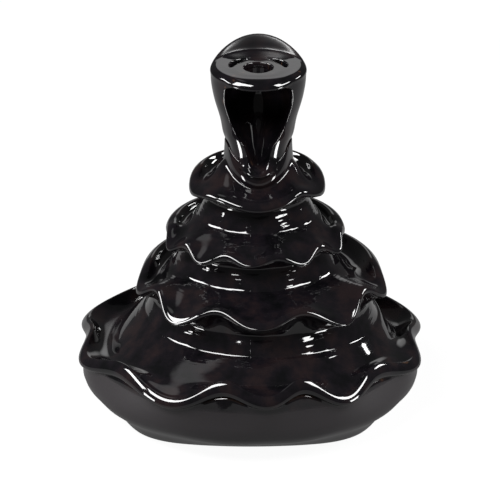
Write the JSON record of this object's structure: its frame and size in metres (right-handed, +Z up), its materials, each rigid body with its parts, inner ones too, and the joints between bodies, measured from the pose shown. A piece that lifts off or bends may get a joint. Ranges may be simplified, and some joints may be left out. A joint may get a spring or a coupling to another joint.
{
  "type": "backflow incense burner",
  "caption": "Stepped ceramic incense burner with a hooded cone stand over a small cave, leaf-shaped tiers and a wide scalloped basin that sinking smoke pours into.",
  "frame": {"origin": "middle of the burner's box, on the surface that its foot stands on", "axes": "+Z up; the front with the mouth of the cave faces -Y; +X to the right as seen from the front"},
  "size_m": [0.1208, 0.1188, 0.1296],
  "materials": {
    "glaze": "glossy black glaze"
  },
  "bodies": {
    "root": {"burner": "glaze"}
  },
  "joints": []
}
